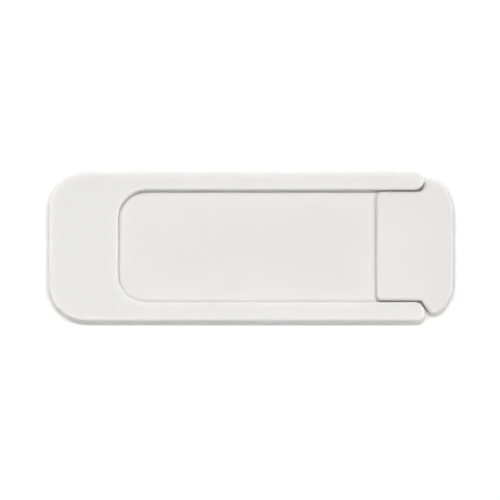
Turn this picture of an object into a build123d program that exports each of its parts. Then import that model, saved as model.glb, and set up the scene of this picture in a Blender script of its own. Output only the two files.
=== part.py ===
import os
from math import radians, sin

from build123d import *

os.makedirs("parts", exist_ok=True)

# Sliding webcam cover in millimetres, pushed shut.
# X runs along the slide with the grip at +X, and Z points out of the screen it sticks to.
# The origin is the centre of the closed cover on the underside of the tape.

# Overall sizes
overall_length = 42.0
overall_height = 2.6
frame_width = 15.75
tape_thickness = 0.15

# Frame moulding
outer_corner_radius = 4.0
end_block_length = 7.3
slot_width = 11.64
slot_corner_radius = 2.9
arm_outer_radius = 0.8
arm_tip_flat = 0.08
frame_edge_radius = 0.2
wall_draft = 1.0

# Shutter blade and the channel that it runs in
blade_thickness = 0.4
channel_lip = 0.4
face_clearance = 0.05
side_clearance = 0.1
blade_reach = 0.5
neck_reach = 0.15
blade_overlap = 0.8
lead_length = 0.7
lead_drop = 0.12
stop_length = 3.0
slide_travel = 12.0

# Grip
head_reach = 2.95
grip_length = 8.05
grip_gap = 0.06
grip_corner_radius = 0.7
grip_edge_radius = 0.3
crown_drop = 0.45
head_width = 14.2
head_corner_radius = 1.75
head_corner_turn = 51.0
head_side_radius = 4.7
head_tip_radius = 0.55
shoulder_set_back = 0.43
shoulder_root_radius = 0.2
core_wall = 0.8
core_rib = 0.7
core_depth = 0.8
core_corner_radius = 0.4

# Adhesive tape
tape_inset = 0.25

# Positions along the slide
frame_length = overall_length - head_reach
closed_end = -overall_length / 2
arm_end = closed_end + frame_length
slot_end = closed_end + end_block_length
grip_end = overall_length / 2
grip_step = grip_end - grip_length
stop_face = arm_end - stop_length
blade_shoulder = stop_face - slide_travel
blade_end = slot_end - blade_overlap
shoulder_start = arm_end - shoulder_set_back
corner_run = head_corner_radius * sin(radians(head_corner_turn))
side_run = head_side_radius * (1 - sin(radians(head_corner_turn)))
head_peak = grip_end - corner_run - side_run

# Heights
channel_floor = tape_thickness + channel_lip
channel_height = blade_thickness + 2 * face_clearance
blade_floor = channel_floor + face_clearance
blade_top = blade_floor + blade_thickness

# Widths shared by the moving fit
arm_width = (frame_width - slot_width) / 2
arm_inner_radius = arm_width - arm_outer_radius - arm_tip_flat
channel_width = slot_width + 2 * (blade_reach + side_clearance)
stop_width = slot_width + 2 * (neck_reach + side_clearance)
blade_width = slot_width + 2 * blade_reach
neck_width = slot_width + 2 * neck_reach
grip_side = slot_width / 2 - grip_gap
core_width = (2 * (grip_side - core_wall) - 2 * core_rib) / 3

# Frame: a U-shaped moulding with drafted walls and rounded arm ends
with BuildPart() as frame:
    with BuildSketch(Plane.XY.offset(tape_thickness)):
        with Locations((closed_end, 0)):
            Rectangle(frame_length, frame_width, align=(Align.MIN, Align.CENTER))
        fillet(vertices().group_by(Axis.X)[0], outer_corner_radius)
        with Locations((slot_end, 0)):
            Rectangle(frame_length, slot_width, align=(Align.MIN, Align.CENTER), mode=Mode.SUBTRACT)
        fillet(vertices().group_by(Axis.X)[-1].sort_by(Axis.Y)[1:3], arm_inner_radius)
        arm_corners = vertices().group_by(Axis.X)[-1].sort_by(Axis.Y)
        fillet([arm_corners[0], arm_corners[-1]], arm_outer_radius)
        fillet(vertices().filter_by(lambda v: abs(v.X - slot_end) < 0.001), slot_corner_radius)
    extrude(amount=overall_height - tape_thickness, taper=wall_draft)
    fillet(faces().sort_by(Axis.Z)[-1].edges(), frame_edge_radius)

    # Channel under the lips: deep up to the stop, and only as deep as the neck needs beyond it
    with BuildSketch(Plane.XY.offset(channel_floor)):
        with Locations((stop_face, 0)):
            Rectangle(
                stop_face - blade_end + side_clearance,
                channel_width,
                align=(Align.MAX, Align.CENTER),
            )
        fillet(vertices().group_by(Axis.X)[0], slot_corner_radius)
        with Locations((stop_face, 0)):
            Rectangle(2 * stop_length, stop_width, align=(Align.MIN, Align.CENTER))
    extrude(amount=channel_height, mode=Mode.SUBTRACT)

# Slider: shutter blade and grip in one moulding
with BuildPart() as slider:
    # Grip between the arms, widening past their ends to a head with two arcs in each corner
    with BuildSketch(Plane.XY.offset(blade_floor)):
        with BuildLine():
            corner = JernArc((head_peak, head_width / 2), (1, 0), head_corner_radius, -head_corner_turn)
            side = JernArc(corner @ 1, corner % 1, head_side_radius, head_corner_turn - 90)
            Polyline(
                side @ 1,
                (grip_end, 0),
                (grip_step, 0),
                (grip_step, grip_side),
                (shoulder_start, grip_side),
                corner @ 0,
            )
        make_face()
        mirror(about=Plane.XZ)
        fillet(vertices().group_by(Axis.X)[0], grip_corner_radius)
        fillet(vertices().filter_by(lambda v: abs(v.X - head_peak) < 0.001), head_tip_radius)
        fillet(vertices().filter_by(lambda v: abs(v.X - shoulder_start) < 0.001), shoulder_root_radius)
    extrude(amount=overall_height - blade_floor)
    walls = faces().filter_by(lambda face: abs(face.normal_at().Z) < 0.001)
    draft(walls, Plane.XY.offset(blade_floor), wall_draft)

    # Crown that falls away towards the outer end of the grip
    with BuildSketch(Plane.XZ):
        with BuildLine():
            crown = TangentArc(
                (grip_step, overall_height),
                (grip_end, overall_height - crown_drop),
                tangent=(1, 0),
            )
            Polyline(
                crown @ 1,
                (grip_end, overall_height + crown_drop),
                (grip_step, overall_height + crown_drop),
                crown @ 0,
            )
        make_face()
    extrude(amount=head_width, both=True, mode=Mode.SUBTRACT)
    fillet(faces().sort_by(Axis.Z)[-1].edges(), grip_edge_radius)

    # Blade, wide up to the shoulder that meets the stop, then a narrower neck
    with BuildSketch(Plane.XY.offset(blade_floor)):
        with Locations((blade_shoulder, 0)):
            Rectangle(blade_shoulder - blade_end, blade_width, align=(Align.MAX, Align.CENTER))
        fillet(vertices().group_by(Axis.X)[0], slot_corner_radius)
        with Locations((blade_shoulder, 0)):
            Rectangle(arm_end - blade_shoulder, neck_width, align=(Align.MIN, Align.CENTER))
    extrude(amount=blade_thickness)

    # Lead-in wedges on the end that snaps in past the stops
    with BuildSketch(Plane.XZ):
        for height, drop in ((blade_top, -lead_drop), (blade_floor, lead_drop)):
            with BuildLine():
                Polyline(
                    (blade_end, height),
                    (blade_end + lead_length, height),
                    (blade_end, height + drop),
                    close=True,
                )
            make_face()
    extrude(amount=blade_width, both=True, mode=Mode.SUBTRACT)

    # Underside cored out between two ribs, so that the grip's walls stay even
    with BuildSketch(Plane.XY.offset(blade_floor)):
        with Locations((grip_end - grip_length / 2, 0)):
            with GridLocations(grip_length, core_width + core_rib, 1, 3):
                RectangleRounded(grip_length - 2 * core_wall, core_width, core_corner_radius)
    extrude(amount=core_depth, mode=Mode.SUBTRACT)

# Adhesive tape: die-cut to the back of the frame, set in from its edges
with BuildPart() as adhesive_tape:
    with BuildSketch(Plane.XY.offset(tape_thickness)):
        add(frame.faces().sort_by(Axis.Z)[0])
        offset(amount=-tape_inset)
    extrude(amount=-tape_thickness)

frame.part.label = "frame"
export_step(frame.part, "parts/frame.step")
slider.part.label = "slider"
export_step(slider.part, "parts/slider.step")
adhesive_tape.part.label = "adhesive_tape"
export_step(adhesive_tape.part, "parts/adhesive_tape.step")
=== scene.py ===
from math import cos, radians, sin

import bpy
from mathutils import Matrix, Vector

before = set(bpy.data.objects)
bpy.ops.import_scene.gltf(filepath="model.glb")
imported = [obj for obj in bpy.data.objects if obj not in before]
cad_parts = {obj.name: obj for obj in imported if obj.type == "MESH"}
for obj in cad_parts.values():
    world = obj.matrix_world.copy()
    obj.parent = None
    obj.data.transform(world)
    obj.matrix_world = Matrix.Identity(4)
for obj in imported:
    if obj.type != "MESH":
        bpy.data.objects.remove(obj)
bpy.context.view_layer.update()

MM = 0.001


# Materials

# The middle part of a noise, which holds nearly all of its values
NOISE_LOW, NOISE_HIGH = 0.3, 0.7

# Sockets of a mix node set to colours: it has one of each name for every kind of data
MIX_FACTOR, MIX_A, MIX_B, MIX_RESULT = 0, 6, 7, 2


def add(tree, kind, **values):
    """A new node with its inputs set by name."""
    node = tree.nodes.new(kind)
    for name, value in values.items():
        node.inputs[name].default_value = value
    return node


def noise(tree, place, size, detail=2.0, stretch=(1, 1, 1)):
    """Noise with grains of about size metres, longer along an axis whose stretch is under 1."""
    scale = add(tree, "ShaderNodeMapping", Scale=tuple(s / size for s in stretch))
    tree.links.new(place, scale.inputs["Vector"])
    texture = add(tree, "ShaderNodeTexNoise", Scale=1.0, Detail=detail, Roughness=0.55)
    tree.links.new(scale.outputs["Vector"], texture.inputs["Vector"])
    return texture.outputs["Fac"]


def spread(tree, value, source, result):
    """Maps the range source of a value to the range result."""
    node = tree.nodes.new("ShaderNodeMapRange")
    node.inputs["From Min"].default_value, node.inputs["From Max"].default_value = source
    node.inputs["To Min"].default_value, node.inputs["To Max"].default_value = result
    tree.links.new(value, node.inputs["Value"])
    return node.outputs["Result"]


def remap(tree, value, low, high):
    """Spreads the middle of a noise over low to high."""
    return spread(tree, value, (NOISE_LOW, NOISE_HIGH), (low, high))


def combine(tree, operation, a, b):
    """Two values joined by a math operation."""
    node = tree.nodes.new("ShaderNodeMath")
    node.operation = operation
    tree.links.new(a, node.inputs[0])
    tree.links.new(b, node.inputs[1])
    return node.outputs["Value"]


def mix(tree, factor, a, b):
    """A colour between a and b, each a tuple or another node's output."""
    node = tree.nodes.new("ShaderNodeMix")
    node.data_type = "RGBA"
    tree.links.new(factor, node.inputs[MIX_FACTOR])
    for socket, colour in ((node.inputs[MIX_A], a), (node.inputs[MIX_B], b)):
        if isinstance(colour, tuple):
            socket.default_value = (*colour, 1)
        else:
            tree.links.new(colour, socket)
    return node.outputs[MIX_RESULT]


def bump(tree, height, strength, depth, normal=None):
    """The normal of a relief, laid over another normal if one is given."""
    node = add(tree, "ShaderNodeBump", Strength=strength, Distance=depth)
    tree.links.new(height, node.inputs["Height"])
    if normal:
        tree.links.new(normal, node.inputs["Normal"])
    return node.outputs["Normal"]


def material(name):
    """A new material with its node tree, its shader and the object's own coordinates."""
    made = bpy.data.materials.new(name)
    made.use_nodes = True
    tree = made.node_tree
    shader = tree.nodes["Principled BSDF"]
    place = tree.nodes.new("ShaderNodeTexCoord").outputs["Object"]
    return made, tree, shader, place


def white_plastic(name, pale, deep, rough, slide_marks, glow):
    """Satin white moulded plastic.

    It has an eroded tool's fine grain, faint flow clouds, and fine marks along the slide.
    glow is how far light travels under its surface.
    """
    fleck_gain = 1.01
    fleck_share = 0.5
    rough_range = 0.05
    made, tree, shader, place = material(name)
    clouds = noise(tree, place, 6 * MM, detail=3.0, stretch=(0.6, 1, 1))
    flecks = noise(tree, place, 0.35 * MM)
    grain = noise(tree, place, 0.07 * MM)
    marks = noise(tree, place, 0.12 * MM, detail=1.0, stretch=(0.02, 1, 1))

    tone = mix(tree, remap(tree, clouds, 0, 1), deep, pale)
    fleck_tone = tuple(fleck_gain * c for c in pale)
    tone = mix(tree, remap(tree, flecks, 0, fleck_share), tone, fleck_tone)
    tree.links.new(tone, shader.inputs["Base Color"])

    fleck_rough = remap(tree, flecks, rough - rough_range, rough + rough_range)
    mark_rough = remap(tree, marks, -slide_marks, slide_marks)
    tree.links.new(combine(tree, "ADD", fleck_rough, mark_rough), shader.inputs["Roughness"])

    surface = bump(tree, grain, strength=0.25, depth=0.006 * MM)
    surface = bump(tree, marks, strength=0.04, depth=0.004 * MM, normal=surface)
    tree.links.new(surface, shader.inputs["Normal"])

    shader.inputs["IOR"].default_value = 1.5
    shader.inputs["Subsurface Weight"].default_value = 1.0
    shader.inputs["Subsurface Radius"].default_value = (1.0, 0.98, 0.96)
    shader.inputs["Subsurface Scale"].default_value = glow
    return made


def tacky_film(name):
    """Acrylic adhesive on a tissue carrier.

    It is pale and a little yellow, with long fibres and small trapped bubbles.
    """
    gap_tone = (0.63, 0.605, 0.55)
    fibre_tone = (0.81, 0.80, 0.77)
    cloud_tone = (0.71, 0.685, 0.62)
    cloud_share = 0.35
    bubble_pitch = 0.9 * MM
    bubble_edge = (0.05, 0.16)
    made, tree, shader, place = material(name)
    fibres = noise(tree, place, 0.12 * MM, detail=3.0, stretch=(0.08, 1, 1))
    cross = noise(tree, place, 0.15 * MM, detail=3.0, stretch=(1, 0.1, 1))
    clouds = noise(tree, place, 2.5 * MM)

    weave = combine(tree, "MAXIMUM", fibres, cross)
    tone = mix(tree, remap(tree, weave, 0, 1), gap_tone, fibre_tone)
    tone = mix(tree, remap(tree, clouds, 0, cloud_share), tone, cloud_tone)
    tree.links.new(tone, shader.inputs["Base Color"])
    tree.links.new(remap(tree, weave, 0.22, 0.42), shader.inputs["Roughness"])

    cells = add(tree, "ShaderNodeTexVoronoi", Scale=1 / bubble_pitch)
    tree.links.new(place, cells.inputs["Vector"])
    bubbles = spread(tree, cells.outputs["Distance"], bubble_edge, (1, 0))
    surface = bump(tree, weave, strength=0.3, depth=0.012 * MM)
    surface = bump(tree, bubbles, strength=0.4, depth=0.01 * MM, normal=surface)
    tree.links.new(surface, shader.inputs["Normal"])
    shader.inputs["IOR"].default_value = 1.47
    return made


def white_paper(name):
    """Matt white paper with broad, faint clouds."""
    made, tree, shader, place = material(name)
    clouds = noise(tree, place, 50 * MM)
    tone = mix(tree, remap(tree, clouds, 0, 1), (0.886, 0.878, 0.870), (0.896, 0.888, 0.880))
    tree.links.new(tone, shader.inputs["Base Color"])
    shader.inputs["Roughness"].default_value = 0.9
    shader.inputs["Specular IOR Level"].default_value = 0.1
    return made


def dress(node, made):
    """Puts a material on every slot of a node, and leaves its mesh alone."""
    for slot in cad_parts[node].material_slots:
        slot.link = "OBJECT"
        slot.material = made


frame_white = white_plastic(
    "frame_white",
    pale=(0.638, 0.635, 0.629),
    deep=(0.627, 0.624, 0.616),
    rough=0.47,
    slide_marks=0.02,
    glow=1.1 * MM,
)
slider_white = white_plastic(
    "slider_white",
    pale=(0.632, 0.625, 0.614),
    deep=(0.620, 0.613, 0.601),
    rough=0.46,
    slide_marks=0.03,
    glow=0.5 * MM,
)
dress("frame", frame_white)
dress("slider", slider_white)
dress("adhesive_tape", tacky_film("adhesive_film"))


# Floor, a hair under the tape so that the two faces don't fight

FLOOR_HALF = 2.0
FLOOR_DROP = 0.01 * MM

floor_corners = [
    (-FLOOR_HALF, -FLOOR_HALF, 0),
    (FLOOR_HALF, -FLOOR_HALF, 0),
    (FLOOR_HALF, FLOOR_HALF, 0),
    (-FLOOR_HALF, FLOOR_HALF, 0),
]
floor_mesh = bpy.data.meshes.new("floor")
floor_mesh.from_pydata(floor_corners, [], [(0, 1, 2, 3)])
floor_mesh.materials.append(white_paper("floor_paper"))
floor = bpy.data.objects.new("floor", floor_mesh)
floor.location.z = -FLOOR_DROP
bpy.context.scene.collection.objects.link(floor)


# Light

def softbox(name, place, aim, size, power):
    """A rectangular area light, in metres and watts."""
    data = bpy.data.lights.new(name, "AREA")
    data.shape = "RECTANGLE"
    data.size, data.size_y = size
    data.energy = power
    light = bpy.data.objects.new(name, data)
    light.location = place
    light.rotation_mode = "QUATERNION"
    light.rotation_quaternion = (Vector(aim) - Vector(place)).to_track_quat("-Z", "Y")
    bpy.context.scene.collection.objects.link(light)


# From above: a narrow key, a smaller one from the near side that draws the slot's near edge,
# and a wide fill
softbox("key", (0, 0.030, 0.60), (0, 0, 0), (0.30, 0.08), 2.40)
softbox("front", (0, -0.155, 0.58), (0, 0, 0), (0.30, 0.09), 1.15)
softbox("top", (0, 0.05, 0.50), (0, 0.05, 0), (1.0, 0.4), 0.45)

# Level with the floor: a soft glow on the far, left and right edges
softbox("back_graze", (0, 0.55, 0.02), (0, 0, 0.02), (1.0, 0.04), 2.2)
softbox("left_graze", (-0.55, 0, 0.05), (0, 0, 0.05), (0.3, 0.10), 0.3)
softbox("right_graze", (0.55, 0, 0.05), (0, 0, 0.05), (0.3, 0.10), 1.1)

# From both ends: a weak fill
softbox("left", (-0.45, 0, 0.31), (0, 0, 0), (0.2, 0.4), 0.4)
softbox("right", (0.45, 0, 0.31), (0, 0, 0), (0.2, 0.4), 0.15)

world = bpy.data.worlds.new("studio")
world.use_nodes = True
world.node_tree.nodes["Background"].inputs["Strength"].default_value = 0.0
bpy.context.scene.world = world
bpy.context.scene.view_settings.view_transform = "Standard"
bpy.context.scene.view_settings.look = "None"


# Camera at the photograph's angle: nearly overhead, tipped towards the near long side

ELEVATION = radians(81.3)
DISTANCE = 1.0
TARGET = Vector((-0.084, -0.46, 2.6)) * MM

back = Vector((0, -cos(ELEVATION), sin(ELEVATION)))
camera_data = bpy.data.cameras.new("camera")
camera_data.sensor_width = 36
camera_data.lens = 695
camera_data.clip_start = 0.01
camera_data.clip_end = 10
camera = bpy.data.objects.new("camera", camera_data)
camera.location = TARGET + back * DISTANCE
camera.rotation_mode = "QUATERNION"
camera.rotation_quaternion = (-back).to_track_quat("-Z", "Y")
bpy.context.scene.collection.objects.link(camera)
bpy.context.scene.camera = camera
